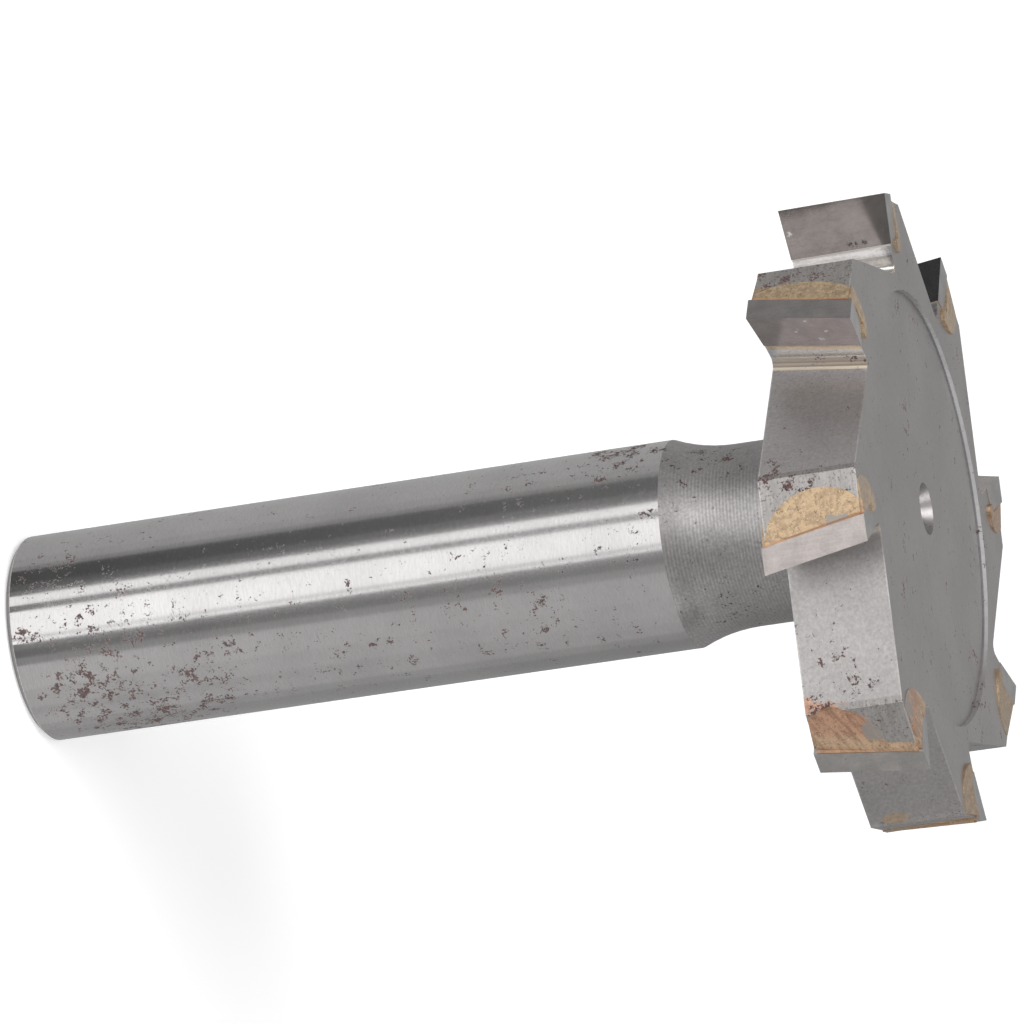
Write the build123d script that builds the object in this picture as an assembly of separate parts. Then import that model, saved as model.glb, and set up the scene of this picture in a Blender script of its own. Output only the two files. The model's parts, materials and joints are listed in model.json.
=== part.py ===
from build123d import *
import math
import os

# A woodruff keyseat cutter: a steel body with a straight shank, a turned neck and a thin disc head,
# and eight flat carbide tips brazed into pockets, leaning alternately one way and the other.
# Millimetres and degrees. The axis is +Z, from the middle of the shank's end face to the cutting
# head. The middle of the first tooth's cutting edge lies on +X. Seen from the head the cutter turns
# counter-clockwise, so teeth are numbered in the direction in which they cut.

# Whole cutter
overall_length = 57.15
cutter_diameter = 38.1
cutter_width = 6.35
tooth_count = 8

# Shank and neck
shank_diameter = 12.7
shank_length = 41.7
shank_chamfer = 0.35
neck_step = 0.8
neck_arc_radius = 9.5
neck_fillet = 0.4

# Disc head. Depths are measured inwards from the circle that the cutting edges run on.
side_relief = 0.25
gullet_depth = 4.85
gullet_fillet = 0.5
recess_margin = 1.0
recess_depth = 0.33

# Centre holes, one in each end
centre_mouth_diameter = 3.2
centre_pilot_diameter = 2.0
centre_pilot_depth = 2.4
centre_cone_angle = 60.0
drill_point_angle = 118.0

# Teeth
rake_angle = 7.0
shear_angle = 10.4
relief_angle = 7.5
land_drop = 0.3
heel_drop = 0.45
heel_angle = 15.0

# Carbide tips
tip_thickness = 1.55
tip_height = 3.1

# How much narrower a tip is at its foot than at its cutting edge, on each side.
tip_side_taper = 0.2

# Braze
braze_gap = 0.12
bead_drop = 0.05

# The braze pool on each tooth's land: how far it reaches behind the tip, half of its width, and how
# far its middle lies towards the front face. Along the whole tip runs a band of its own reach.
band_reach = [0.5, 0.6, 0.7, 0.5, 0.8, 0.5, 0.45, 0.6]
pool_reach = [1.2, 2.0, 2.4, 1.8, 1.5, 1.74, 2.33, 3.1]
pool_half_width = [2.2, 2.4, 3.0, 2.0, 2.6, 3.37, 3.1, 2.75]
pool_shift = [-1.0, 0.9, -0.5, 1.2, 0.3, 0.1, 0.25, -1.6]

# The smear of braze on the front and the back face behind each tip: its reach, half its height, and how
# far its middle lies below the middle of the tip.
front_smear_reach = [2.4, 2.8, 1.5, 2.8, 1.3, 1.5, 1.9, 3.2]
back_smear_reach = [1.6, 1.2, 1.9, 2.3, 1.5, 2.0, 1.4, 1.8]
smear_half_height = 2.1
smear_drop = 0.35

# Pools and smears end this share short of where they would thin out to nothing, so that they have an edge.
film_fade = 0.8

# Smears on the side faces stop this short of the land's edge.
film_inset = 0.1

# How far a cutting tool runs past the surface that it leaves, so that no skin stays, and how far the
# tools that come in from outside stand out past the cutting edges.
overshoot = 0.6
rim_clearance = 2.4

shank_radius = shank_diameter / 2
neck_radius = shank_radius - neck_step
edge_radius = cutter_diameter / 2
land_start_radius = edge_radius - land_drop
heel_radius = edge_radius - heel_drop
gullet_radius = edge_radius - gullet_depth
recess_radius = gullet_radius - recess_margin
half_width = cutter_width / 2
head_middle = overall_length - half_width
body_half_width = half_width - side_relief
recess_floor = overall_length - side_relief - recess_depth
outside = edge_radius + rim_clearance

# Tooth coordinates: x points outwards through the middle of the cutting edge, y points the way the
# tooth cuts, and z is measured from the middle of the head.


def polar(radius, degrees):
    """Point at a radius and an angle, in tooth coordinates."""
    return Vector(radius * math.cos(math.radians(degrees)), radius * math.sin(math.radians(degrees)))


cutting_edge = Vector(edge_radius, 0)
up_the_face = polar(1, rake_angle)
ahead = polar(1, rake_angle + 90)
heel = polar(heel_radius, -heel_angle)
heel_of_next = polar(heel_radius, 360 / tooth_count - heel_angle)


def down_the_face(distance):
    """Point on the rake face, at a distance in from the cutting edge."""
    return cutting_edge - up_the_face * distance


def leaning_prism(points, half_length, lean, along=Vector(0, 1)):
    """Outline in tooth coordinates, extruded from back to front while it slides along with the lean."""
    slide = along * (math.tan(math.radians(lean)) / along.Y)
    outline = make_face(Polyline(*points, close=True))
    start = Pos(-slide.X * half_length, -slide.Y * half_length, -half_length) * outline
    way = Vector(slide.X, slide.Y, 1)
    return extrude(start, 2 * half_length * way.length, dir=way)


def straight_prism(points, half_length):
    """Outline in tooth coordinates, extruded from back to front along the axis."""
    return leaning_prism(points, half_length, 0)


def place(number):
    """Where the tooth of this number stands on the cutter."""
    return Pos(0, 0, head_middle) * Rot(0, 0, (number - 1) * 360 / tooth_count)


def lean_of(number):
    """Even teeth lean forwards at the front face, and odd teeth lean backwards."""
    return shear_angle if number % 2 == 0 else -shear_angle


def of_tooth(sizes, number):
    """A braze size of the tooth of this number, from a list that starts at the first tooth."""
    return sizes[(number - 1) % len(sizes)]


def tip_outline():
    """Section of a carbide tip: cutting edge, foot, back of the foot, and back of the relief."""
    foot = down_the_face(tip_height)
    back_of_foot = foot - ahead * tip_thickness
    relief_length = tip_thickness / math.cos(math.radians(relief_angle + rake_angle))
    back_of_relief = cutting_edge + polar(relief_length, 270 - relief_angle)
    return [cutting_edge, foot, back_of_foot, back_of_relief]


def turned_blank():
    """Shank, neck and head disc in one revolve, before any tooth is cut."""
    arc_length = math.sqrt(2 * neck_arc_radius * neck_step - neck_step**2)
    head_back = head_middle - body_half_width
    head_front = head_middle + body_half_width
    neck_start = (neck_radius, shank_length + arc_length)
    neck_end = (neck_radius, head_back - neck_fillet)
    fillet_end = (neck_radius + neck_fillet, head_back)
    shank_edge = (shank_radius, shank_length)
    chamfer_start = (shank_radius - shank_chamfer, 0)
    outline = Polyline((0, 0), chamfer_start, (shank_radius, shank_chamfer), shank_edge)
    outline += TangentArc(neck_start, shank_edge, tangent=(0, -1))
    outline += Line(neck_start, neck_end)
    outline += TangentArc(neck_end, fillet_end, tangent=(0, 1))
    outline += Polyline(fillet_end, (land_start_radius, head_back), (land_start_radius, head_front))
    outline += Polyline((land_start_radius, head_front), (0, head_front), (0, 0))
    return revolve(Plane.XZ * make_face(outline), Axis.Z)


def centre_hole():
    """Drilled centre with its mouth at z = 0, going down: a cone, a pilot and the drill's point."""
    mouth = centre_mouth_diameter / 2
    pilot = centre_pilot_diameter / 2
    cone_end = (mouth - pilot) / math.tan(math.radians(centre_cone_angle / 2))
    pilot_end = cone_end + centre_pilot_depth
    point_end = pilot_end + pilot / math.tan(math.radians(drill_point_angle / 2))
    points = [(0, 0), (mouth, 0), (pilot, -cone_end), (pilot, -pilot_end), (0, -point_end)]
    return revolve(Plane.XZ * make_face(Polyline(*points, close=True)), Axis.Z)


def gullet(lean):
    """Chip space ahead of a tooth: a leaning rake face, a flat back slope and a round between them."""
    tool_half_length = half_width + overshoot
    rake_offset = edge_radius * math.sin(math.radians(rake_angle))
    depth = edge_radius * math.cos(math.radians(rake_angle)) - math.sqrt(gullet_radius**2 - rake_offset**2)
    corner = down_the_face(depth)
    slope = (heel_of_next - corner).normalized()
    lean_room = tool_half_length * math.tan(math.radians(shear_angle)) + overshoot
    low = corner - slope * lean_room
    high = heel_of_next + slope * rim_clearance
    space = straight_prism([low, high, Vector(outside, high.Y), Vector(outside, low.Y)], tool_half_length)
    inner = down_the_face(depth + overshoot)
    outer = down_the_face(-rim_clearance)
    reach = ahead * (2 * edge_radius * math.sin(math.radians(180 / tooth_count)))
    front = leaning_prism([inner, outer, outer + reach, inner + reach], tool_half_length, lean)
    tool = space & front
    return fillet(tool.edges().sort_by_distance(corner)[0], gullet_fillet)


def tip_pocket(lean):
    """Seat of a tip, cut wider than the tip by the braze gap at its back and under its foot."""
    floor = down_the_face(tip_height + braze_gap)
    back = floor - ahead * (tip_thickness + braze_gap)
    rise = up_the_face * (tip_height + rim_clearance)
    front = floor + ahead * overshoot
    return leaning_prism([front, back, back + rise, front + rise], half_width + overshoot, lean)


def land_line():
    """Land behind a tip: its highest point, at the pocket, and its heel."""
    start_angle = math.degrees((tip_thickness + braze_gap) / land_start_radius)
    return polar(land_start_radius, -start_angle), heel


def land():
    """Flat ground behind the tip, from the land's start down to the heel."""
    start, end = land_line()
    along = (end - start).normalized()
    first = start - along * overshoot
    last = end + along * overshoot
    away = Vector(-along.Y, along.X) * rim_clearance
    return straight_prism([first, last, last + away, first + away], half_width + overshoot)


def cutter_body():
    """The steel piece: the blank with its recess, centre holes, gullets, lands and tip pockets."""
    body = turned_blank()
    upwards = (Align.CENTER, Align.CENTER, Align.MIN)
    body -= Pos(0, 0, recess_floor) * Cylinder(recess_radius, recess_depth + overshoot, align=upwards)
    body -= Pos(0, 0, recess_floor) * centre_hole()
    body -= Rot(180, 0, 0) * centre_hole()
    for number in range(1, tooth_count + 1):
        lean = lean_of(number)
        body -= [place(number) * tool for tool in (gullet(lean), land(), tip_pocket(lean))]
    return body


def tip_blank(lean):
    """Tip before its sides are ground: as wide as the cutter all the way down."""
    return leaning_prism(tip_outline(), half_width, lean)


def between_sides():
    """The room between the ground sides of a tip, which close in from the cutting edge to the foot."""
    outer = edge_radius + tip_height
    inner = edge_radius - 2 * tip_height
    wide = half_width + tip_side_taper
    narrow = half_width - 2 * tip_side_taper
    points = [(outer, -wide), (outer, wide), (inner, narrow), (inner, -narrow)]
    return extrude(Plane.XZ * make_face(Polyline(*points, close=True)), tip_height, both=True)


def carbide_tip(number):
    """Flat tip, as wide as the cutter at its edge, with its rake face leaning with the tooth."""
    return place(number) * (tip_blank(lean_of(number)) & between_sides())


def braze_layer(lean):
    """The thin layer under the foot and behind the back of a tip."""
    foot, back_of_foot, back_of_relief = tip_outline()[1:]
    floor = down_the_face(tip_height + braze_gap)
    corner = back_of_foot - (up_the_face + ahead) * braze_gap
    top = back_of_relief - ahead * braze_gap
    return leaning_prism([foot, floor, corner, top, back_of_relief, back_of_foot], body_half_width, lean)


def land_bead(reach, lean):
    """Wedge of braze that falls from the back of the tip to the land, and leans along the land."""
    back_of_relief = tip_outline()[3]
    start, end = land_line()
    along = (end - start).normalized()
    top = back_of_relief - up_the_face * bead_drop
    toe = start + along * reach
    under = toe - Vector(1, 0) * overshoot
    root = top - up_the_face * overshoot
    return leaning_prism([top, toe, under, root], body_half_width, lean, along)


def pool_outline(number, lean):
    """Round outline of the braze pool, leaning with the tip, looking at the land from outside."""
    reach = of_tooth(pool_reach, number)
    half = of_tooth(pool_half_width, number)
    shift = of_tooth(pool_shift, number)
    middle = Pos(0, tip_outline()[3].Y + shift * math.tan(math.radians(lean)), shift)
    return extrude(middle * Rot(-lean, 0, 0) * (Plane.YZ * Ellipse(reach, half)), outside, dir=(1, 0, 0))


def side_smear(reach, side, lean):
    """Wedge of braze on the front (side 1) or the back (side -1) face, behind the tip."""
    back_of_foot = tip_outline()[2]
    shift = Vector(0, side * half_width * math.tan(math.radians(lean)))
    middle = back_of_foot + up_the_face * (tip_height / 2 - smear_drop) + shift
    top = side * (half_width - bead_drop)
    face = side * body_half_width
    below = side * (body_half_width - overshoot)
    thin_end = -reach / film_fade
    points = [(overshoot, below), (overshoot, top), (0, top), (thin_end, face), (thin_end, below)]
    across = Plane(origin=middle, x_dir=ahead, z_dir=up_the_face)
    wedge = extrude(across * make_face(Polyline(*points, close=True)), smear_half_height, both=True)
    disc = Pos(middle.X, middle.Y) * Rot(0, 0, rake_angle) * Ellipse(smear_half_height, reach)
    start, end = land_line()
    along = (end - start).normalized()
    inwards = Vector(along.Y, -along.X)
    first = start - along * tip_thickness + inwards * film_inset
    last = end + inwards * film_inset
    drop = inwards * (tip_height + tip_thickness)
    side_of_tooth = make_face(Polyline(first, last, last + drop, first + drop, close=True))
    return wedge & extrude(disc & side_of_tooth, half_width + overshoot, both=True)


def braze_joint(number, body):
    """All the braze of one tip: the layer, the bead and pool on the land, and the smears."""
    lean = lean_of(number)
    pool = land_bead(of_tooth(pool_reach, number) / film_fade, lean) & pool_outline(number, lean)
    extra = land_bead(of_tooth(band_reach, number), lean) + pool
    extra += side_smear(of_tooth(front_smear_reach, number), 1, lean)
    extra += side_smear(of_tooth(back_smear_reach, number), -1, lean)
    return place(number) * (braze_layer(lean) + extra - tip_blank(lean)) - body


def build():
    """Every node of the cutter by name."""
    body = cutter_body()
    nodes = {"cutter_body": body}
    for number in range(1, tooth_count + 1):
        nodes[f"carbide_tip_{number}"] = carbide_tip(number)
        nodes[f"braze_joint_{number}"] = braze_joint(number, body)
    return nodes


os.makedirs("parts", exist_ok=True)
for name, shape in build().items():
    export_step(shape, f"parts/{name}.step")
    print(name, len(shape.solids()), round(shape.volume, 3))
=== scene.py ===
import json
import math
from types import SimpleNamespace

import bpy
from mathutils import Matrix, Vector


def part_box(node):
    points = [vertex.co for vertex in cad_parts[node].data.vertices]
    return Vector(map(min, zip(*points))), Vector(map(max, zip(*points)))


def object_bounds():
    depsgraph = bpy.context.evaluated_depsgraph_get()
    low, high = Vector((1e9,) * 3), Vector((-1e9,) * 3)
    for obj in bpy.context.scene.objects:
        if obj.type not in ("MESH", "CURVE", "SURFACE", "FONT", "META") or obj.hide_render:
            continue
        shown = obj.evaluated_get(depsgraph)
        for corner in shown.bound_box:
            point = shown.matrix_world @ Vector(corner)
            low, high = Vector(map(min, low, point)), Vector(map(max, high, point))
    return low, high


# Looks of the woodruff keyseat cutter: one steel body, eight carbide tips and their braze, on a plain
# pale floor. Material graphs and their tables are in millimetres, the scene is in metres.

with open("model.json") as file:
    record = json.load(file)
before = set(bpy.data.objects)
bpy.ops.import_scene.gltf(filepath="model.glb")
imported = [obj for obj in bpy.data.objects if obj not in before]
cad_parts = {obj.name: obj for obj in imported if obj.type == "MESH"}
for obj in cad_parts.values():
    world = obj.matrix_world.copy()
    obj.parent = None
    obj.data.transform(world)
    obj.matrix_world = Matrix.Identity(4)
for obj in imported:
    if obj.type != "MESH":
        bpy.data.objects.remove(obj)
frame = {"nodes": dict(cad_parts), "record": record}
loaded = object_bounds()

# Sizes and angles of the cutter, from the frame where it holds them

MM = 1000.0
shank_mount = next(mount["dims"] for mount in frame["record"]["mounts"] if mount["name"] == "shank")
tip_low, tip_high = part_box("carbide_tip_1")
body_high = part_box("cutter_body")[1]

SHANK_CHAMFER = 0.35
SHANK_RADIUS = shank_mount["r_mm"]
SHANK_END = SHANK_CHAMFER + shank_mount["length_mm"]
EDGE_RADIUS = loaded[1][0] * MM
HEAD_MIDDLE = (tip_low[2] + tip_high[2]) / 2 * MM
FRONT_FACE = body_high[2] * MM
BACK_FACE = 2 * HEAD_MIDDLE - FRONT_FACE
RECESS_DEPTH = 0.33
RECESS_FLOOR = FRONT_FACE - RECESS_DEPTH
TEETH = 8
TOOTH_PITCH = 2 * math.pi / TEETH
RAKE = math.radians(7.0)
SHEAR = math.radians(10.4)
TIP_THICKNESS = 1.55

# Azimuth of the photograph's camera, seen from the axis, in degrees.
CAMERA_AZIMUTH = 264.24


# Node graphs

class Graph:
    """A material's node tree, with one short call per kind of node. Arguments are sockets or values."""

    def __init__(self, name):
        self.material = bpy.data.materials.new(name)
        self.material.use_nodes = True
        self.tree = self.material.node_tree
        self.tree.nodes.clear()
        self.output = self.node("ShaderNodeOutputMaterial")

    def node(self, kind):
        return self.tree.nodes.new(kind)

    def put(self, socket, value):
        if isinstance(value, bpy.types.NodeSocket):
            self.tree.links.new(value, socket)
        elif hasattr(value, "__len__") and len(value) == 3 and len(socket.default_value) == 4:
            socket.default_value = (*value, 1.0)
        else:
            socket.default_value = value

    def math(self, operation, a, b=None):
        node = self.node("ShaderNodeMath")
        node.operation = operation
        for socket, value in zip(node.inputs, (a, b)):
            if value is not None:
                self.put(socket, value)
        return node.outputs[0]

    def add(self, a, b):
        return self.math("ADD", a, b)

    def minus(self, a, b):
        return self.math("SUBTRACT", a, b)

    def inverse(self, a):
        return self.minus(1.0, a)

    def absolute(self, a):
        return self.math("ABSOLUTE", a)

    def times(self, *factors):
        product = factors[0]
        for factor in factors[1:]:
            product = self.math("MULTIPLY", product, factor)
        return product

    def most(self, *values):
        found = values[0]
        for value in values[1:]:
            found = self.math("MAXIMUM", found, value)
        return found

    def vector(self, operation, a, b=None):
        node = self.node("ShaderNodeVectorMath")
        node.operation = operation
        self.put(node.inputs[0], a)
        if b is not None:
            self.put(node.inputs["Scale"] if operation == "SCALE" else node.inputs[1], b)
        return node.outputs["Value" if operation in ("DOT_PRODUCT", "LENGTH", "DISTANCE") else "Vector"]

    def dot(self, a, b):
        return self.vector("DOT_PRODUCT", a, b)

    def distance(self, a, b):
        return self.vector("DISTANCE", a, b)

    def stretch(self, a, factors):
        """A vector times another one, axis by axis."""
        return self.vector("MULTIPLY", a, factors)

    def shade(self, colour, factor):
        """A colour times a number."""
        return self.vector("SCALE", colour, factor)

    def split(self, a):
        node = self.node("ShaderNodeSeparateXYZ")
        self.put(node.inputs[0], a)
        return node.outputs[0], node.outputs[1], node.outputs[2]

    def join(self, x, y, z):
        node = self.node("ShaderNodeCombineXYZ")
        for socket, value in zip(node.inputs, (x, y, z)):
            self.put(socket, value)
        return node.outputs[0]

    def map_range(self, interpolation, value, low, high, to_low, to_high):
        node = self.node("ShaderNodeMapRange")
        node.interpolation_type = interpolation
        for name, given in (("Value", value), ("From Min", low), ("From Max", high),
                            ("To Min", to_low), ("To Max", to_high)):
            self.put(node.inputs[name], given)
        return node.outputs["Result"]

    def ramp(self, value, low, high, to_low=0.0, to_high=1.0):
        """Smooth step from low to high."""
        return self.map_range("SMOOTHSTEP", value, low, high, to_low, to_high)

    def above(self, value, edge, soft):
        """1 above the edge, 0 below it, and soft for that far on both sides."""
        return self.ramp(value, edge - soft, edge + soft)

    def below(self, value, edge, soft):
        return self.ramp(value, edge - soft, edge + soft, 1.0, 0.0)

    def window(self, value, low, high, soft):
        """1 between low and high, 0 outside."""
        return self.times(self.above(value, low, soft), self.below(value, high, soft))

    def vary(self, noise, low, high):
        """A factor that follows a noise from low to high."""
        return self.ramp(noise, 0.3, 0.7, low, high)

    def noise(self, place, scale, detail=3.0, roughness=0.55, distortion=0.0):
        node = self.node("ShaderNodeTexNoise")
        node.normalize = True
        for name, given in (("Vector", place), ("Scale", scale), ("Detail", detail),
                            ("Roughness", roughness), ("Distortion", distortion)):
            self.put(node.inputs[name], given)
        return node.outputs[0]

    def mix(self, share, a, b):
        """Colour a, and b over it by the share."""
        node = self.node("ShaderNodeMix")
        node.data_type = "RGBA"
        node.clamp_factor = True
        self.put(node.inputs["Factor"], share)
        self.put(node.inputs[6], a)
        self.put(node.inputs[7], b)
        return node.outputs[2]

    def blend(self, share, a, b):
        """Number a, and b in place of it by the share."""
        node = self.node("ShaderNodeMix")
        node.data_type = "FLOAT"
        node.clamp_factor = True
        for socket, value in ((0, share), (2, a), (3, b)):
            self.put(node.inputs[socket], value)
        return node.outputs[0]

    def paint(self, colour, *coats):
        """A colour under coats of others, each given as its share and its tone."""
        for share, tone in coats:
            colour = self.mix(share, colour, tone)
        return colour

    def replace(self, value, *others):
        """A number that others replace in turn, each given as its share and itself."""
        for share, other in others:
            value = self.blend(share, value, other)
        return value

    def within(self, zone, factor):
        """The factor inside a zone, and 1 outside."""
        return self.blend(zone, 1.0, factor)

    def place(self):
        """Object coordinates in millimetres."""
        return self.vector("SCALE", self.node("ShaderNodeTexCoord").outputs["Object"], MM)

    def normal(self):
        return self.node("ShaderNodeNewGeometry").outputs["Normal"]

    def close(self, shader):
        self.put(self.output.inputs["Surface"], shader.outputs[0])
        return self.material

    def finish(self, colour, roughness, metallic, height, height_mm):
        """Closes the graph with one principled shader. The height is a number from about 0 to 1."""
        shader = self.node("ShaderNodeBsdfPrincipled")
        bump = self.node("ShaderNodeBump")
        bump.inputs["Strength"].default_value = 1.0
        bump.inputs["Distance"].default_value = height_mm / MM
        self.put(bump.inputs["Height"], height)
        for name, given in (("Base Color", colour), ("Roughness", roughness), ("Metallic", metallic),
                            ("Normal", bump.outputs[0])):
            self.put(shader.inputs[name], given)
        return self.close(shader)


def tooth_axes(number):
    """Outwards, the way the tooth cuts, up the rake face, and the rake face's normal, as unit vectors."""
    angle = (number - 1) * TOOTH_PITCH
    lean = SHEAR if number % 2 == 0 else -SHEAR
    ahead = Vector((-math.sin(angle + RAKE), math.cos(angle + RAKE), 0))
    return SimpleNamespace(
        out=Vector((math.cos(angle), math.sin(angle), 0)),
        cut=Vector((-math.sin(angle), math.cos(angle), 0)),
        up=Vector((math.cos(angle + RAKE), math.sin(angle + RAKE), 0)),
        rake=(ahead * math.cos(lean) - Vector((0, 0, 1)) * math.sin(lean)).normalized(),
    )


def shank_point(degrees_from_camera, z):
    """Point on the shank at an angle from the side that faces the photograph's camera."""
    angle = math.radians(CAMERA_AZIMUTH - degrees_from_camera)
    return SHANK_RADIUS * math.cos(angle), SHANK_RADIUS * math.sin(angle), z


# Steel body: where its zones end

HOLE_RADIUS = 1.725
NECK_RADIUS = 6.65
RECESS_WALL_RADII = (12.9, 13.4)
RIM_RADIUS = 13.65
SEAT_RADIUS = 16.3
LAND_RADIUS = 18.33
FLARE_TOP = 42.9

# Radii where the tone changes on the seats in front of two tips, between painted highlight and painted
# reflections.
FIFTH_SEAT_INNER = 15.34
SIXTH_SEAT_START = 14.67
SIXTH_SEAT_OUTER = 15.56

# Azimuths in radians. The fifth tooth lies past the first of them on either side, and the others are
# where the sixth tooth and the painted shade on one side of the neck's flare begin and end.
FIFTH_TOOTH = 2.875
SIXTH_TOOTH = (-2.7, -2.1)
FLARE_SHADE_SIDE = (-1.35, -0.75)

# Along the bottom of a gullet, ahead of the rake face's plane: a hollow, then a crease.
HOLLOW_START = 0.02
CREASE_START = 0.46
CREASE_END = 0.68
SEAT_END = 0.67

# Pitch of the turned rings on the neck.
TURNING_PITCH = 0.21

# Steel body: tones

STEEL = SimpleNamespace(
    faces=(0.485, 0.465, 0.458),
    shank=(0.69, 0.675, 0.67),
    neck=(0.475, 0.46, 0.455),
    land=(0.50, 0.475, 0.462),
    slope=(0.505, 0.485, 0.478),
    # The recess wall's bright tone is a painted highlight, and its foot and its fainter sides carry painted
    # shade.
    recess_wall=(0.62, 0.62, 0.625),
    recess_foot_shade=(0.26, 0.26, 0.27),
    recess_faint_shade=(0.40, 0.39, 0.385),
    # Painted shade in the centre hole and on the shank's chamfer.
    hole=(0.20, 0.19, 0.19),
    # Seats in front of the fifth and the sixth tip: a painted highlight and painted reflections.
    fifth_seat_painted_light=(0.97, 0.96, 0.95),
    fifth_seat_inner_reflection=(0.66, 0.635, 0.60),
    sixth_seat_painted_light=(0.66, 0.68, 0.75),
    sixth_seat_outer_reflection=(0.70, 0.60, 0.46),
    # Braze in the gullets: the crease's bright gold is braze under a painted highlight, and in front of the
    # sixth tip the hollow's tones are painted reflection and painted shade.
    hollow=(0.60, 0.50, 0.38),
    sixth_hollow=(0.66, 0.58, 0.50),
    sixth_hollow_shade=(0.36, 0.30, 0.25),
    crease=(0.88, 0.79, 0.62),
    rust=(0.050, 0.036, 0.038),
    rust_light=(0.165, 0.075, 0.065),
)

# Patches of rust: place, radius of the patch, and how dense it is.
RUST = [
    (shank_point(-38, 5.0), 4.2, 1.15),
    (shank_point(-66, 7.0), 4.6, 1.15),
    (shank_point(-44, 11.5), 3.6, 0.95),
    (shank_point(-12, 6.5), 3.6, 0.6),
    (shank_point(-4, 2.0), 2.4, 0.4),
    (shank_point(36, 3.2), 3.0, 0.75),
    (shank_point(14, 5.5), 3.6, 0.5),
    (shank_point(-48, 19.0), 3.6, 0.5),
    (shank_point(-24, 14.0), 4.2, 0.5),
    (shank_point(-34, 24.5), 3.2, 0.4),
    (shank_point(-20, 31.0), 4.8, 0.5),
    (shank_point(64, 39.0), 3.4, 1.0),
    (shank_point(58, 33.0), 2.4, 0.5),
    (shank_point(10, 39.5), 2.6, 0.55),
    ((-5.0, -2.4, 45.0), 2.6, 0.75),
    ((4.0, -3.9, 45.0), 1.7, 0.6),
    (shank_point(-58, 38.0), 2.4, 0.5),
    (shank_point(130, 12.0), 5.0, 0.9),
    (shank_point(160, 30.0), 6.0, 0.7),
    (shank_point(-140, 22.0), 5.0, 0.8),
    ((-5.0, -17.6, 51.8), 1.9, 1.08),
    ((-4.5, -18.0, 53.6), 1.3, 0.9),
    ((-6.1, -16.1, 53.6), 0.6, 0.8),
    ((-15.9, -9.7, 52.3), 1.9, 1.3),
    ((-15.7, -9.9, 54.2), 1.7, 1.2),
    ((5.6, -15.3, 51.2), 2.0, 0.75),
    ((8.4, -16.0, 51.5), 2.0, 0.95),
    ((7.0, -15.7, 53.4), 1.6, 0.7),
    ((-12.1, 1.3, 56.6), 0.7, 0.9),
    ((-10.9, 4.7, 56.6), 0.5, 0.8),
    ((13.2, 4.9, 56.9), 2.4, 0.7),
    ((10.2, 5.8, 56.6), 1.2, 0.6),
    ((-4.0, 11.4, 51.1), 4.0, 0.7),
    ((11.0, 9.0, 51.1), 3.5, 0.6),
    ((-6.2, -1.2, 56.6), 0.9, 1.0),
    ((-5.2, -2.0, 56.6), 0.9, 1.0),
    ((1.2, -7.5, 56.6), 1.0, 1.0),
    ((3.0, -9.3, 56.6), 1.0, 1.0),
    ((4.2, -9.7, 56.6), 0.9, 1.0),
    ((9.1, -1.1, 56.6), 0.9, 1.0),
    ((-11.2, 5.8, 56.6), 0.8, 1.0),
    ((14.8, 3.7, 56.9), 1.6, 0.8),
    ((3.1, 12.8, 56.9), 0.6, 1.0),
    ((4.9, 12.3, 56.9), 0.6, 1.0),
    ((-4.8, 15.1, 56.9), 0.8, 0.9),
    ((-7.7, 14.4, 56.9), 0.7, 0.9),
    ((-10.45, -10.36, 56.05), 0.45, 1.5),
]

# Slopes brightened or darkened with painted light and shade: first and last azimuth in radians, and factor.
SLOPE_LIGHT_AND_SHADE = [
    (-2.45, -1.70, 1.28),
    (-1.52, -0.90, 1.14),
    (-0.74, -0.10, 0.89),
]

# Thin braze that ran out over the steel: place, radii across and along the axis, raggedness, tone.
FILMS = [
    ((17.52, -5.12, 52.70), (0.40, 0.88), 0.12, (0.57, 0.43, 0.30)),
    ((8.95, -16.10, 51.60), (0.32, 1.50), 0.60, (0.70, 0.42, 0.31)),
    ((8.70, -15.95, 51.15), (0.40, 0.45), 0.45, (0.74, 0.43, 0.30)),
    ((-15.22, -10.76, 51.38), (0.34, 0.80), 0.25, (0.64, 0.49, 0.33)),
]


def body_zones(g):
    """Coordinates on the body, and the zones of it that differ in finish, as shares from 0 to 1."""
    place = g.place()
    x, y, z = g.split(place)
    r = g.vector("LENGTH", g.join(x, y, 0.0))
    around = g.math("ARCTAN2", y, x)
    upright = g.inverse(g.above(g.absolute(g.split(g.normal())[2]), 0.55, 0.05))
    shank = g.below(z, SHANK_END, 0.03)
    rim = g.times(g.above(r, RIM_RADIUS, 0.05), upright)
    land = g.times(rim, g.above(r, LAND_RADIUS, 0.03))
    wall = g.window(r, *RECESS_WALL_RADII, 0.1)
    return SimpleNamespace(
        place=place, z=z, r=r, around=around, shank=shank, rim=rim, land=land,
        slope=g.times(rim, g.inverse(land)),
        neck=g.times(g.inverse(shank), g.below(r, NECK_RADIUS, 0.05), g.below(z, BACK_FACE, 0.05)),
        hole=g.times(g.below(r, HOLE_RADIUS, 0.025), upright),
        chamfer=g.below(z, SHANK_CHAMFER - 0.03, 0.04),
        recess_wall=g.times(upright, g.above(z, RECESS_FLOOR - 0.22, 0.05), wall),
    )


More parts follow.
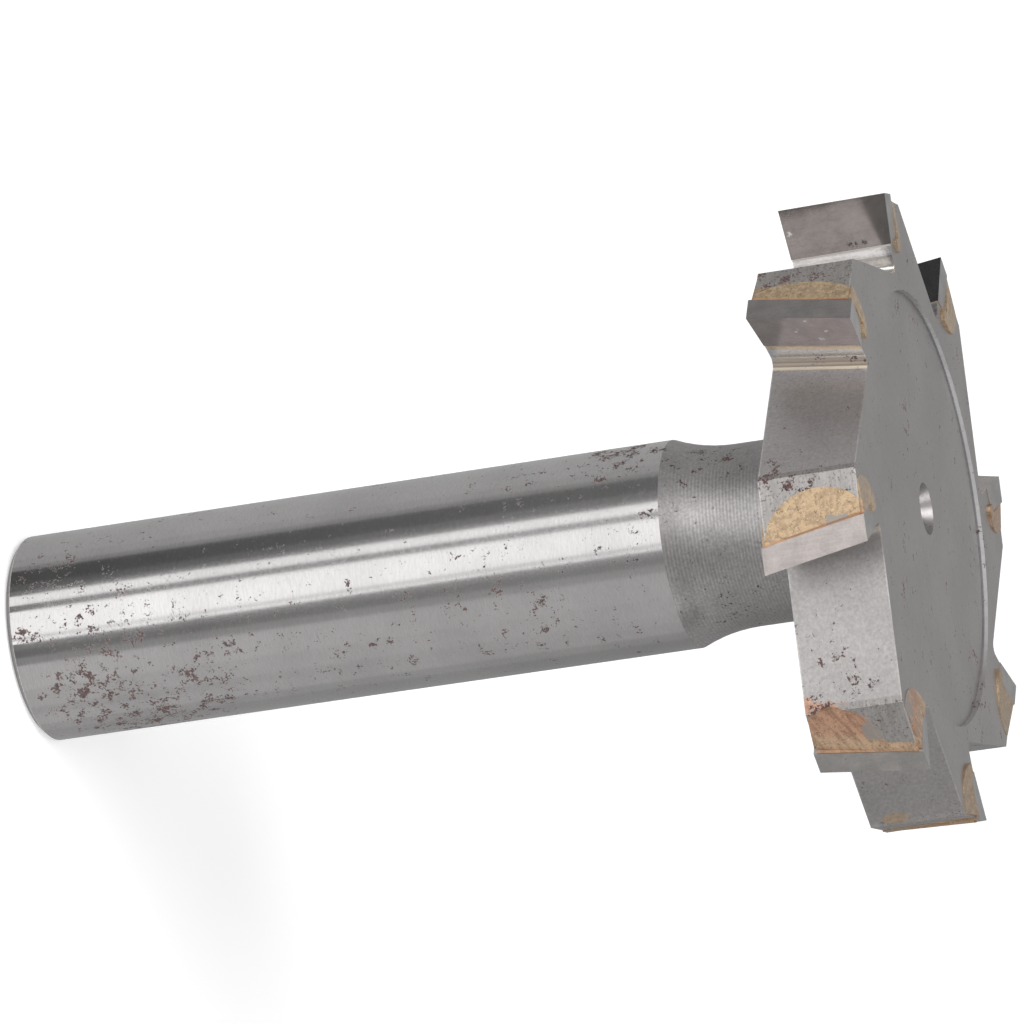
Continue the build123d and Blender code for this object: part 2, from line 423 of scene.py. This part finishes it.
def add_gullet_zones(g, zone):
    """Adds the place in the frame of the nearest tooth, and the zones in front of the tips."""
    number = g.math("ROUND", g.times(zone.around, 1 / TOOTH_PITCH))
    local = g.minus(zone.around, g.times(number, TOOTH_PITCH))
    zone.outwards = g.times(zone.r, g.math("COSINE", local))
    onwards = g.times(zone.r, g.math("SINE", local))
    leans = g.minus(g.times(g.math("MODULO", g.absolute(number), 2.0), 2.0), 1.0)
    shear_shift = g.times(leans, g.minus(zone.z, HEAD_MIDDLE), math.tan(SHEAR) * math.cos(RAKE))
    rake_shift = g.times(g.minus(zone.outwards, EDGE_RADIUS), math.sin(RAKE))
    zone.ahead = g.minus(g.minus(g.times(onwards, math.cos(RAKE)), rake_shift), shear_shift)
    in_gullet = g.times(zone.rim, g.below(zone.r, SEAT_RADIUS, 0.1))
    zone.hollow = g.times(in_gullet, g.window(zone.ahead, HOLLOW_START, CREASE_START, 0.04))
    zone.crease = g.times(in_gullet, g.window(zone.ahead, CREASE_START, CREASE_END, 0.03))
    zone.seat = g.times(in_gullet, g.below(zone.ahead, SEAT_END, 0.03))
    zone.fifth = g.above(g.absolute(zone.around), FIFTH_TOOTH, 0.025)
    zone.sixth = g.window(zone.around, *SIXTH_TOOTH, 0.05)


def machine_marks(g, zone):
    """Marks of the machines: rings round the neck and the lands, grain on the shank, satin elsewhere."""
    place = zone.place
    wander = g.noise(place, 0.3, 2.0)
    wave = g.math("SINE", g.add(g.times(zone.z, 2 * math.pi / TURNING_PITCH), g.times(wander, 2.0)))
    fades = g.times(g.ramp(wander, 0.35, 0.6, 0.35, 1.0), g.ramp(zone.around, -2.75, -2.25, 0.25, 1.0))
    along_tooth = g.join(g.times(zone.outwards, 5.0), g.times(zone.ahead, 5.0), g.times(zone.z, 0.35))
    return SimpleNamespace(
        wander=wander,
        ring=g.times(g.add(g.times(wave, 0.5), 0.5), fades),
        sparkle=g.noise(place, 6.0, 4.0, 0.7),
        grain=g.noise(g.stretch(place, (2.2, 2.2, 11.0)), 1.0, 3.0, 0.65),
        land_lines=g.noise(g.stretch(place, (0.8, 0.8, 8.0)), 1.0, 3.0, 0.65),
        pepper=g.ramp(g.noise(place, 6.5, 2.0, 0.6), 0.55, 0.66),
        satin=g.noise(place, 3.2, 4.0, 0.65),
        streak=g.noise(place, 5.5, 4.0, 0.7),
        draw=g.noise(along_tooth, 1.0, 3.0, 0.6),
        cloud=g.noise(place, 0.22, 3.0, 0.5),
    )


def steel_tone(g, zone):
    """Tone of each zone. The recess wall's bright tone is a painted highlight, fainter around the first and
    the fifth tooth, with painted shade at its foot. The seats in front of the fifth and the sixth tip carry
    a painted highlight and painted reflections, and the centre hole and the shank's chamfer carry painted
    shade.
    """
    # Sides of the recess wall where its painted highlight gives way to painted shade.
    turned = g.absolute(zone.around)
    faint_wall_shade = g.most(g.below(turned, 0.65, 0.2), g.ramp(turned, 2.3, 2.9))
    # Painted highlight and painted reflections on the seats in front of the fifth and the sixth tip.
    fifth_seat_painted_light = g.times(zone.seat, zone.fifth)
    sixth_seat_painted_light = g.times(zone.seat, zone.sixth)
    return g.paint(
        g.mix(zone.shank, STEEL.faces, STEEL.shank),
        (zone.neck, STEEL.neck),
        (zone.land, STEEL.land),
        (zone.slope, STEEL.slope),
        # Painted highlight on the recess wall, and painted shade at its foot and on its fainter sides.
        (zone.recess_wall, STEEL.recess_wall),
        (g.times(zone.recess_wall, g.below(zone.z, RECESS_FLOOR + 0.1, 0.03)), STEEL.recess_foot_shade),
        (g.times(zone.recess_wall, faint_wall_shade), STEEL.recess_faint_shade),
        # Painted highlight and painted reflections on the seats in front of the fifth and the sixth tip.
        (fifth_seat_painted_light, STEEL.fifth_seat_painted_light),
        (g.times(fifth_seat_painted_light, g.below(zone.r, FIFTH_SEAT_INNER, 0.04)), STEEL.fifth_seat_inner_reflection),
        (g.times(sixth_seat_painted_light, g.above(zone.r, SIXTH_SEAT_START, 0.05)), STEEL.sixth_seat_painted_light),
        (g.times(sixth_seat_painted_light, g.above(zone.r, SIXTH_SEAT_OUTER, 0.04)), STEEL.sixth_seat_outer_reflection),
        # Painted shade in the centre hole and on the shank's chamfer.
        (g.most(g.times(zone.hole, 0.55), g.times(zone.chamfer, 0.8)), STEEL.hole),
    )


def steel_level(g, zone, marks):
    """Brightness that the marks give each zone, with painted light. The edges of the rim along the two
    faces are broken, and thin bright lines of painted highlight run along them; the flare of the neck
    beside the shank has painted shade on one side, and some slopes carry painted light and shade."""
    # Painted shade on one side of the neck's flare beside the shank.
    flare = g.times(zone.neck, g.below(zone.z, FLARE_TOP, 0.5), g.window(zone.around, *FLARE_SHADE_SIDE, 0.15))
    # Painted highlight: thin bright lines along the broken edges of the rim.
    edges = g.most(g.above(zone.z, FRONT_FACE - 0.07, 0.03), g.below(zone.z, BACK_FACE + 0.07, 0.03))
    edges = g.times(zone.rim, edges, g.ramp(marks.wander, 0.35, 0.5))
    draw = g.vary(marks.draw, g.blend(zone.sixth, 0.75, 0.95), g.blend(zone.sixth, 1.12, 1.05))
    factors = [
        g.blend(zone.shank, g.ramp(marks.satin, 0.25, 0.75, 0.93, 1.06), g.vary(marks.grain, 0.96, 1.04)),
        g.within(zone.neck, g.vary(marks.sparkle, 0.84, 1.16)),
        g.within(zone.neck, g.ramp(marks.ring, 0.0, 1.0, 0.91, 1.14)),
        g.within(flare, 0.72),
        g.within(zone.land, g.vary(marks.land_lines, 0.86, 1.12)),
        g.within(g.times(zone.land, marks.pepper), 0.62),
    ]
    # Painted light and shade on some slopes.
    for first, last, factor in SLOPE_LIGHT_AND_SHADE:
        factors.append(g.within(g.times(zone.slope, g.window(zone.around, first, last, 0.03)), factor))
    factors += [
        g.within(zone.slope, g.vary(marks.streak, 0.88, 1.10)),
        g.within(zone.seat, draw),
        g.vary(marks.cloud, 0.95, 1.04),
        # Painted highlight along the rim's edges.
        g.within(edges, 1.35),
    ]
    return g.times(*factors)


def gullet_braze_and_painted_light(g, zone, colour):
    """Braze that crept along the bottom of the gullets: a film in the hollow, gold in the crease under a
    painted highlight. In front of the sixth tip the hollow's tones are painted reflection and painted
    shade.
    """
    sixth_hollow = g.times(zone.hollow, zone.sixth)
    return g.paint(
        colour,
        (g.times(zone.hollow, g.inverse(zone.sixth), g.blend(zone.fifth, 0.35, 0.15)), STEEL.hollow),
        (sixth_hollow, STEEL.sixth_hollow),
        (g.times(sixth_hollow, g.above(zone.ahead, 0.17, 0.03)), STEEL.sixth_hollow_shade),
        # Painted highlight on the braze gold of the crease.
        (g.times(zone.crease, g.blend(zone.sixth, 0.3, 1.0)), STEEL.crease),
    )


def braze_films(g, zone, marks, colour):
    """The thin braze of the table, with ragged edges, over the steel."""
    noise = g.noise(zone.place, 3.0, 3.0, 0.65)
    for centre, (across, along), ragged, tone in FILMS:
        offset = g.stretch(g.vector("SUBTRACT", zone.place, centre), (1 / across, 1 / across, 1 / along))
        spread = g.add(g.vector("LENGTH", offset), g.vary(noise, -ragged, ragged))
        film = g.times(g.below(spread, 0.98, 0.10), g.ramp(noise, 0.38, 0.46, 1.0 - ragged, 1.0))
        colour = g.mix(g.times(film, 0.85), colour, g.shade(tone, g.vary(marks.satin, 0.8, 1.15)))
    return colour


def rust_share(g, place):
    """Rust in flakes that gather in clumps, dense in the patches of the table and scarce elsewhere."""
    flakes = g.noise(place, 6.5, 3.0, 0.7)
    clumps = g.noise(place, 1.35, 2.0, 0.55)
    patches = [g.ramp(g.distance(place, centre), size * 0.4, size * 1.3, density, 0.0)
               for centre, size, density in RUST]
    total = g.add(g.times(flakes, 1.05), g.add(clumps, g.times(g.most(*patches), 0.17)))
    return g.above(total, 1.3, 0.025)


def steel_roughness(g, zone, marks, dirt):
    """The shank is polished, the rest is satin, and rust is dull."""
    return g.replace(
        g.blend(zone.shank, 0.40, g.vary(marks.sparkle, 0.11, 0.18)),
        (zone.neck, 0.44),
        (zone.land, 0.46),
        (zone.slope, 0.42),
        (zone.seat, g.blend(zone.fifth, 0.34, 0.22)),
        (zone.crease, 0.5),
        (zone.recess_wall, 0.55),
        (zone.chamfer, 0.5),
        (g.ramp(dirt, 0.5, 1.0), 0.8),
    )


def steel_height(g, zone, marks, rust):
    """Relief of the marks, with the rust eaten into it."""
    fine = g.add(g.times(marks.grain, 0.05), g.times(marks.sparkle, 0.12))
    turned = g.add(g.times(marks.ring, 0.8), g.times(marks.satin, 0.7))
    ground = g.add(g.times(marks.land_lines, 0.6), g.times(marks.satin, 0.6))
    satin = g.times(marks.satin, 0.9)
    height = g.replace(satin, (zone.shank, fine), (zone.neck, turned), (zone.land, ground))
    return g.minus(height, g.times(rust, 0.8))


def steel():
    g = Graph("ground_steel")
    zone = body_zones(g)
    add_gullet_zones(g, zone)
    marks = machine_marks(g, zone)
    rust = rust_share(g, zone.place)
    specks = g.above(g.noise(zone.place, 4.6, 2.0, 0.5), 0.755, 0.01)
    dirt = g.most(rust, g.times(specks, 0.6))

    colour = g.shade(steel_tone(g, zone), steel_level(g, zone, marks))
    colour = gullet_braze_and_painted_light(g, zone, colour)
    colour = braze_films(g, zone, marks, colour)
    rust_tone = g.mix(g.ramp(marks.sparkle, 0.38, 0.62), STEEL.rust, STEEL.rust_light)
    colour = g.mix(g.times(dirt, 0.92), colour, rust_tone)

    golden = g.times(zone.crease, zone.sixth)
    metallic = g.replace(1.0, (zone.recess_wall, 0.6), (golden, 0.3), (dirt, 0.2))
    roughness = steel_roughness(g, zone, marks, dirt)
    return g.finish(colour, roughness, metallic, steel_height(g, zone, marks, rust), 0.004)


# Carbide tips

GROUND_RELIEF = (0.46, 0.44, 0.43)
GROUND_SIDE = (0.47, 0.46, 0.455)
PORE = (0.12, 0.11, 0.11)

# Finish of each tip: tones of the rake face, the relief and the sides, and the rake face's roughness. The
# tones differ from tip to tip as painted light and shade.
TIPS = {
    1: ((0.47, 0.44, 0.43), GROUND_RELIEF, GROUND_SIDE, 0.20),
    2: ((0.44, 0.41, 0.40), GROUND_RELIEF, GROUND_SIDE, 0.20),
    3: ((0.46, 0.42, 0.40), GROUND_RELIEF, GROUND_SIDE, 0.20),
    4: ((0.17, 0.17, 0.17), GROUND_RELIEF, GROUND_SIDE, 0.08),
    5: ((0.357, 0.326, 0.313), GROUND_RELIEF, GROUND_SIDE, 0.12),
    6: ((0.43, 0.385, 0.376), (0.37, 0.35, 0.34), (0.54, 0.54, 0.54), 0.26),
    7: ((0.45, 0.44, 0.44), (0.64, 0.58, 0.555), GROUND_SIDE, 0.20),
    8: ((0.42, 0.41, 0.41), (0.46, 0.44, 0.425), GROUND_SIDE, 0.20),
}

# Small marks on the tips: tooth, place, radius and tone. Nicks carry a painted glint, spots are black.
NICK_GLINT = (0.80, 0.80, 0.80)
BRIGHT_NICK_GLINT = (0.85, 0.85, 0.85)
SPOT = (0.05, 0.05, 0.045)
MARKS = [
    (5, (-17.54, -0.33, 51.18), 0.12, BRIGHT_NICK_GLINT),
    (5, (-16.33, 0.45, 54.64), 0.16, SPOT),
    (5, (-16.30, 0.50, 54.93), 0.13, SPOT),
    (5, (-16.34, 0.60, 55.42), 0.13, SPOT),
    (6, (-13.23, -13.27, 54.32), 0.09, NICK_GLINT),
    (6, (-12.60, -12.19, 53.42), 0.08, NICK_GLINT),
    (6, (-11.93, -11.73, 54.78), 0.12, NICK_GLINT),
    (6, (-12.41, -12.50, 55.27), 0.10, NICK_GLINT),
    (6, (-12.71, -12.39, 53.61), 0.07, NICK_GLINT),
]


def carbide(number, rake_tone, relief_tone, side_tone, rake_roughness):
    """One tip: its ground rake face, relief and sides differ in finish and carry painted light and shade.
    """
    g = Graph(f"carbide_{number}")
    place = g.place()
    normal = g.normal()
    axes = tooth_axes(number)
    rake = g.above(g.dot(normal, axes.rake), 0.75, 0.05)
    relief = g.above(g.dot(normal, axes.out), 0.75, 0.05)
    along_axis = g.join(g.times(g.dot(place, axes.out), 9.0), g.times(g.dot(place, axes.cut), 9.0),
                        g.times(g.split(place)[2], 0.35))
    lines = g.noise(along_axis, 1.0, 3.0, 0.6)
    cloud = g.noise(place, 0.9, 3.0, 0.55)
    fine = g.noise(place, 7.0, 3.0, 0.7)
    pores = g.above(g.noise(place, 4.5, 3.0, 0.65), 0.72, 0.02)
    level = g.times(g.vary(lines, 0.95, 1.04), g.vary(cloud, 0.9, 1.08), g.vary(fine, 0.93, 1.06))
    colour = g.shade(g.paint(side_tone, (rake, rake_tone), (relief, relief_tone)), level)
    for tooth, centre, size, tone in MARKS:
        if tooth == number:
            away = g.add(g.distance(place, centre), g.vary(fine, -size, size))
            colour = g.mix(g.times(g.below(away, size * 0.85, size * 0.15), 0.8), colour, tone)
    colour = g.mix(g.times(pores, 0.5), colour, PORE)
    height = g.add(g.times(lines, 0.25), g.times(pores, -0.6))
    return g.finish(colour, g.blend(rake, 0.36, rake_roughness), 0.9, height, 0.003)


# Braze

# The line along a tip shows only farther out than this.
LINE_RADIUS = 17.4

COPPER_LINE = (0.66, 0.33, 0.18)
DARK_LINE = (0.34, 0.22, 0.15)
BRAZE_PIT = (0.16, 0.10, 0.065)
BRAZE_CRACK = (0.20, 0.13, 0.08)
BRAZE_GLINT = (0.90, 0.82, 0.68)
ISLAND_STEEL = (0.385, 0.37, 0.355)
SMEAR_STEEL = (0.44, 0.42, 0.405)
FRONT_STEEL = (0.72, 0.70, 0.67)

# Braze of each tooth: its tone, its darker tone, the tone and the strength of the line along the tip, how
# thin the smears are, and how much steel shows through the braze under the rake face.
BRAZE = {
    1: ((0.54, 0.40, 0.27), (0.40, 0.29, 0.20), COPPER_LINE, 0.2, 0.2, 0.3),
    2: ((0.52, 0.40, 0.27), (0.40, 0.29, 0.20), COPPER_LINE, 0.2, 0.3, 0.3),
    3: ((0.54, 0.38, 0.26), (0.40, 0.27, 0.18), COPPER_LINE, 0.5, 0.3, 0.3),
    4: ((0.64, 0.48, 0.31), (0.44, 0.32, 0.21), COPPER_LINE, 0.1, 0.3, 0.3),
    5: ((0.54, 0.42, 0.30), (0.42, 0.33, 0.24), COPPER_LINE, 0.0, 0.2, 0.85),
    6: ((0.72, 0.55, 0.355), (0.48, 0.35, 0.23), COPPER_LINE, 0.6, 0.3, 0.3),
    7: ((0.70, 0.52, 0.33), (0.50, 0.36, 0.24), COPPER_LINE, 0.6, 0.6, 0.3),
    8: ((0.72, 0.51, 0.345), (0.50, 0.335, 0.225), DARK_LINE, 0.7, 0.15, 0.3),
}

# Teeth whose braze has been filed, with scratches that run aslant and a redder far end.
FILED = (8,)
REDDER = (0.93, 0.80, 0.80)

# Islands in the braze pools where bare steel shows: tooth, place and radius.
ISLANDS = [
    (7, (-2.00, -18.69, 55.15), 0.34),
    (7, (-2.06, -18.68, 55.70), 0.30),
    (7, (-2.15, -18.66, 56.00), 0.18),
    (8, (10.75, -15.20, 54.85), 0.75),
    (8, (9.20, -15.95, 57.00), 1.75),
]


def scratched(g, place, cut):
    """The place drawn out along the scratches of a file, for a noise that has their grain."""
    scratch = (cut + Vector((0, 0, 0.4))).normalized()
    along = g.vector("SCALE", scratch, g.times(g.dot(place, scratch), 0.85))
    return g.vector("SUBTRACT", place, along)


def braze_pool(g, number, place, behind, mottle, crust, tones):
    """Colour of the pool: mottled, with dark pits and cracks, glints, and islands of bare steel."""
    tone, dark_tone = tones
    colour = g.mix(g.ramp(mottle, 0.38, 0.60), dark_tone, tone)
    if number in FILED:
        far_end = g.ramp(g.add(behind, g.vary(crust, -0.3, 0.3)), 2.3, 3.0)
        colour = g.mix(far_end, colour, g.stretch(colour, REDDER))
    cracks = g.absolute(g.minus(g.noise(place, 2.2, 2.0, 0.6), 0.5))
    cracks = g.times(g.ramp(cracks, 0.005, 0.022, 1.0, 0.0), g.ramp(crust, 0.42, 0.55))
    glints = g.above(g.noise(place, 8.0, 1.0, 0.5), 0.72, 0.02)
    colour = g.paint(
        colour,
        (g.times(g.above(crust, 0.65, 0.05), 0.6), BRAZE_PIT),
        (g.times(cracks, 0.65), BRAZE_CRACK),
        (g.times(glints, 0.7), BRAZE_GLINT),
    )
    for tooth, centre, size in ISLANDS:
        if tooth == number:
            away = g.add(g.distance(place, centre), g.vary(mottle, -size * 0.35, size * 0.35))
            colour = g.mix(g.times(g.below(away, size, size * 0.1), 0.8), colour, ISLAND_STEEL)
    return colour


def braze(number, tone, dark_tone, line_tone, line, thin, front):
    """The braze of one tooth. A copper-red or dark line runs along the tip, and on the side faces and under
    the rake face the braze is so thin that the steel shows through."""
    g = Graph(f"braze_{number}")
    place = g.place()
    normal = g.normal()
    axes = tooth_axes(number)
    edge = axes.out * EDGE_RADIUS + Vector((0, 0, HEAD_MIDDLE))
    behind = g.minus(axes.rake.dot(edge), g.dot(place, axes.rake))
    grained = scratched(g, place, axes.cut) if number in FILED else place
    mottle = g.noise(grained, 2.6, 5.0, 0.7, 0.3)
    crust = g.noise(place, 6.0, 4.0, 0.7)
    side = g.above(g.absolute(g.split(normal)[2]), 0.75, 0.05)
    smear = g.ramp(g.add(behind, g.vary(mottle, -0.8, 0.8)), 1.2, 4.2, thin * 0.4, thin)
    outer = g.above(g.dot(place, axes.up), LINE_RADIUS, 0.2)
    seam = g.times(g.below(behind, TIP_THICKNESS + 0.10, 0.04), outer)
    under_rake = g.times(g.above(g.dot(normal, axes.rake), 0.85, 0.05), g.below(behind, 0.25, 0.05))
    colour = g.paint(
        braze_pool(g, number, place, behind, mottle, crust, (tone, dark_tone)),
        (g.times(side, smear), SMEAR_STEEL),
        (g.times(seam, line), line_tone),
        (g.times(under_rake, front), FRONT_STEEL),
    )
    height = g.add(mottle, g.times(crust, 0.5))
    return g.finish(colour, 0.44, 0.75, height, 0.012)


def dress(name, material):
    mesh = frame["nodes"][name].data
    mesh.materials.clear()
    mesh.materials.append(material)


dress("cutter_body", steel())
for number in range(1, TEETH + 1):
    dress(f"carbide_tip_{number}", carbide(number, *TIPS[number]))
    dress(f"braze_joint_{number}", braze(number, *BRAZE[number]))


# Floor and cards. From here on lengths are metres and angles degrees.

FLOOR_HALF = 6.0
FLOOR_HEIGHT = -0.00005
FLOOR_GLOW = 0.42
CARD_HEIGHT = 0.0002
CARD_REACH = 0.9
CARD_STEP = 3

# Grey cards on the floor: what the shank mirrors, from the upper edge of the photograph's shank to the
# lower one. First and last angle from the side that faces the camera, strength near the shank and far off.
CARDS = [
    ("card_upper_grey", 90, 52, 0.42, 0.42),
    ("card_upper_edge", 52, 46, 0.385, 0.385),
    ("card_upper_shade", 46, 42.8, 0.29, 0.30),
    ("card_dark", 42.8, 33, 0.090, 0.16),
    ("card_dark_fade", 33, 29, 0.135, 0.23),
    ("card_dark_edge", 29, 26.2, 0.23, 0.30),
    ("card_bright_narrow", 26.2, 20.6, 1.12, 1.12),
    ("card_line", 20.6, 16.9, 0.25, 0.42),
    ("card_bright_broad", 16.9, 2.6, 1.27, 1.18),
    ("card_bright_low", 2.6, 0.6, 0.86, 0.72),
    ("card_thin_line", 0.6, -1.0, 1.35, 1.15),
    ("card_under_edge", -1.0, -4.5, 0.25, 0.31),
    ("card_under_band", -4.5, -8.8, 0.19, 0.26),
    ("card_under_shade", -8.8, -13.2, 0.30, 0.35),
    ("card_middle", -13.2, -28, 0.52, 0.46),
    ("card_middle_low", -28, -40, 0.47, 0.44),
    ("card_low_shade", -40, -46, 0.42, 0.42),
    ("card_low", -46, -55, 0.46, 0.39),
    ("card_low_fade", -55, -62, 0.385, 0.32),
    ("card_lower_edge", -62, -90, 0.34, 0.27),
]

# Upright cards for the rake faces: first and last azimuth, lowest and highest elevation, distance,
# strength.
STANDING_CARDS = [
    ("card_front_dark", 276, 300, -2, 20, 1.2, 0.19),
    ("card_left_bright", 214, 246, 0, 20, 1.2, 2.4),
]


def emission(name, strength, far_strength=None):
    """White light of one strength, or of two: near the axis, and from 14 centimetres away from it."""
    g = Graph(name)
    shader = g.node("ShaderNodeEmission")
    if far_strength is not None:
        away = g.vector("LENGTH", g.node("ShaderNodeTexCoord").outputs["Object"])
        strength = g.map_range("LINEAR", away, 0.02, 0.14, strength, far_strength)
    g.put(shader.inputs["Strength"], strength)
    return g.close(shader)


def white_floor(glow):
    """Diffuse white that also glows for camera, glossy and transmission rays, so that shadows stay."""
    g = Graph("white_floor")
    rays = g.node("ShaderNodeLightPath").outputs
    seen = g.most(rays["Is Camera Ray"], rays["Is Glossy Ray"], rays["Is Transmission Ray"])
    diffuse = g.node("ShaderNodeBsdfDiffuse")
    g.put(diffuse.inputs["Color"], (0.8, 0.8, 0.8))
    light = g.node("ShaderNodeEmission")
    g.put(light.inputs["Strength"], g.times(seen, glow))
    both = g.node("ShaderNodeAddShader")
    g.put(both.inputs[0], diffuse.outputs[0])
    g.put(both.inputs[1], light.outputs[0])
    return g.close(both)


def mesh_object(name, vertices, faces, material):
    mesh = bpy.data.meshes.new(name)
    mesh.from_pydata(vertices, [], faces)
    mesh.update()
    mesh.materials.append(material)
    made = bpy.data.objects.new(name, mesh)
    bpy.context.scene.collection.objects.link(made)
    return made


def only_mirrored(made):
    """Hides an object from everything but reflections."""
    made.visible_camera = False
    made.visible_diffuse = False
    made.visible_shadow = False
    made.visible_transmission = False


def direction(azimuth, elevation=0):
    turn = math.radians(azimuth)
    rise = math.radians(elevation)
    return Vector((math.cos(rise) * math.cos(turn), math.cos(rise) * math.sin(turn), math.sin(rise)))


def card(name, first, last, near_strength, far_strength):
    """Grey card on the floor that fills what the shank mirrors between two angles."""
    steps = max(1, round(abs(last - first) / CARD_STEP))
    vertices = []
    for step in range(steps + 1):
        degrees = first + (last - first) * step / steps
        near = direction(CAMERA_AZIMUTH - degrees) * (SHANK_RADIUS / MM)
        far = near + direction(CAMERA_AZIMUTH - 2 * degrees) * CARD_REACH
        vertices += [(near.x, near.y, CARD_HEIGHT), (far.x, far.y, CARD_HEIGHT)]
    faces = [(2 * i, 2 * i + 1, 2 * i + 3, 2 * i + 2) for i in range(steps)]
    only_mirrored(mesh_object(name, vertices, faces, emission(name, near_strength, far_strength)))


def standing_card(name, first_azimuth, last_azimuth, low, high, distance, strength):
    """Upright card that only reflections show, between two azimuths and two elevations."""
    vertices = []
    for azimuth in (first_azimuth, last_azimuth):
        foot = direction(azimuth) * distance
        for elevation in (low, high):
            height = HEAD_MIDDLE / MM + distance * math.tan(math.radians(elevation))
            vertices.append((foot.x, foot.y, height))
    only_mirrored(mesh_object(name, vertices, [(0, 2, 3, 1)], emission(name, strength)))


corners = [(-1, -1), (1, -1), (1, 1), (-1, 1)]
floor_corners = [(x * FLOOR_HALF, y * FLOOR_HALF, FLOOR_HEIGHT) for x, y in corners]
mesh_object("floor", floor_corners, [(0, 1, 2, 3)], white_floor(FLOOR_GLOW))
for row in CARDS:
    card(*row)
for row in STANDING_CARDS:
    standing_card(*row)


# Lamps and world

WORLD_STRENGTH = 0.42


def area_lamp(name, place, size, watts):
    """Round lamp that points at the origin."""
    data = bpy.data.lights.new(name, "AREA")
    data.shape = "DISK"
    data.size = size
    data.energy = watts
    lamp = bpy.data.objects.new(name, data)
    lamp.location = place
    lamp.rotation_mode = "QUATERNION"
    lamp.rotation_quaternion = (-Vector(place)).to_track_quat("-Z", "Y")
    bpy.context.scene.collection.objects.link(lamp)


area_lamp("key", (-0.55, -0.85, 1.5), 1.1, 16)
area_lamp("fill", (1.0, -0.6, 1.0), 0.9, 6)

world = bpy.data.worlds.new("soft_grey")
world.use_nodes = True
background = world.node_tree.nodes["Background"]
background.inputs["Color"].default_value = (1, 1, 1, 1)
background.inputs["Strength"].default_value = WORLD_STRENGTH
bpy.context.scene.world = world
bpy.context.scene.view_settings.view_transform = "Standard"


# Camera, at the photograph's place and angle. The angles are those of its line of sight, and the roll turns
# the picture until the shank lies almost level in it.

CAMERA_PLACE = (-0.0466798, -0.46268639, 0.16121342)
SIGHT_AZIMUTH = 264.666219
SIGHT_ELEVATION = 15.634912
SIGHT_ROLL = 81.515873

camera_data = bpy.data.cameras.new("camera")
camera_data.sensor_width = 36
camera_data.lens = 279.65
camera_data.clip_start = 0.05
camera_data.clip_end = 20
camera = bpy.data.objects.new("camera", camera_data)
bpy.context.scene.collection.objects.link(camera)
backwards = direction(SIGHT_AZIMUTH, SIGHT_ELEVATION)
level_right = direction(SIGHT_AZIMUTH + 90)
roll = math.radians(SIGHT_ROLL)
right = level_right * math.cos(roll) + backwards.cross(level_right) * math.sin(roll)
turn = Matrix((right, backwards.cross(right), backwards)).transposed().to_4x4()
camera.matrix_world = Matrix.Translation(CAMERA_PLACE) @ turn
bpy.context.scene.camera = camera
